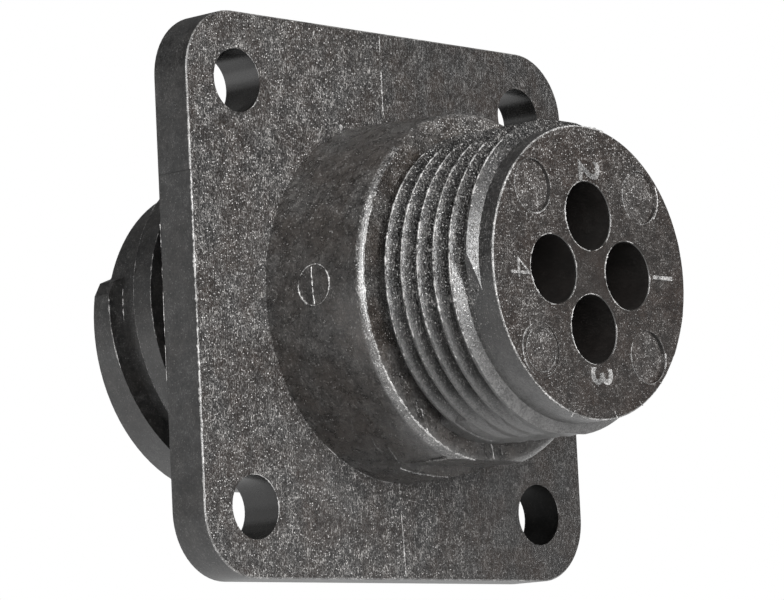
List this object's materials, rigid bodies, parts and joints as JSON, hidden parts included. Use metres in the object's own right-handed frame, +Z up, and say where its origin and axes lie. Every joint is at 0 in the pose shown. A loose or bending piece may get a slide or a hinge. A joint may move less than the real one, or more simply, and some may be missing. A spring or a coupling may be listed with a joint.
{
  "type": "circular connector receptacle",
  "caption": "Black moulded square-flange receptacle of a circular connector, with a threaded wire side, open contact cavities and a keyed mating barrel with coupling ramps.",
  "frame": {"origin": "centre of the four screw holes, on the connector's axis, in the flange's face on the wire side", "axes": "Y along the connector's axis: the wire side faces -Y and the mating side faces +Y; +Z up through the main key, X across the flange"},
  "size_m": [0.0286, 0.0267, 0.0286],
  "materials": {
    "shell": "matt black glass-filled nylon with fine light speckle"
  },
  "bodies": {
    "root": {"receptacle_shell": "shell"}
  },
  "joints": []
}
